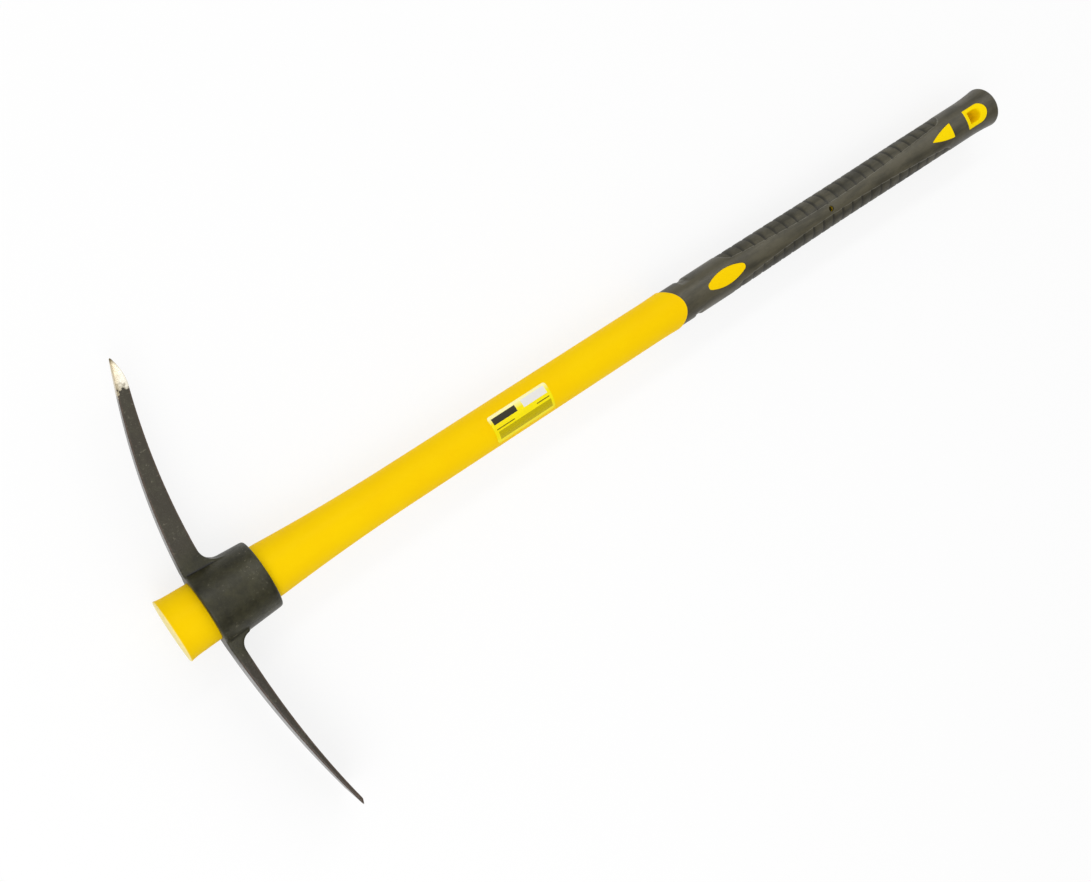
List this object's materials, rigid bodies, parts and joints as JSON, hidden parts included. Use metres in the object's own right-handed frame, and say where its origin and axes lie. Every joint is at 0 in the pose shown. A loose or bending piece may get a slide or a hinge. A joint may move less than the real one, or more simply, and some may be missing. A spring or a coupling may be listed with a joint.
{
  "type": "pick axe",
  "caption": "Pick axe with a forged head, a point on one side and a flat chisel on the other, on a tapered moulded handle with a ribbed soft grip and a hang hole.",
  "frame": {"origin": "centre of the handle's flat flared end face, on the handle's axis", "axes": "+X along the handle from the flared end to the butt, +Y to the side of the point, +Z square to the plane of the two tines, up when the tool lies on its side"},
  "size_m": [0.9, 0.377, 0.063],
  "materials": {
    "head_steel": "black forged scale under thin matt paint, bare ground tip",
    "core_fibreglass": "pultruded glass fibre rod",
    "handle_plastic": "satin moulded plastic",
    "grip_rubber": "matt soft overmould",
    "label_film": "printed film with no lettering"
  },
  "bodies": {
    "handle": {"core_rod": "core_fibreglass", "sheath": "handle_plastic", "grip": "grip_rubber", "label": "label_film"},
    "head": {"pick_head": "head_steel"}
  },
  "joints": [
    {"name": "head_slide", "type": "slide", "parent": "handle", "child": "head", "axis": [1, 0, 0], "range_m": [0, 0.885]}
  ]
}
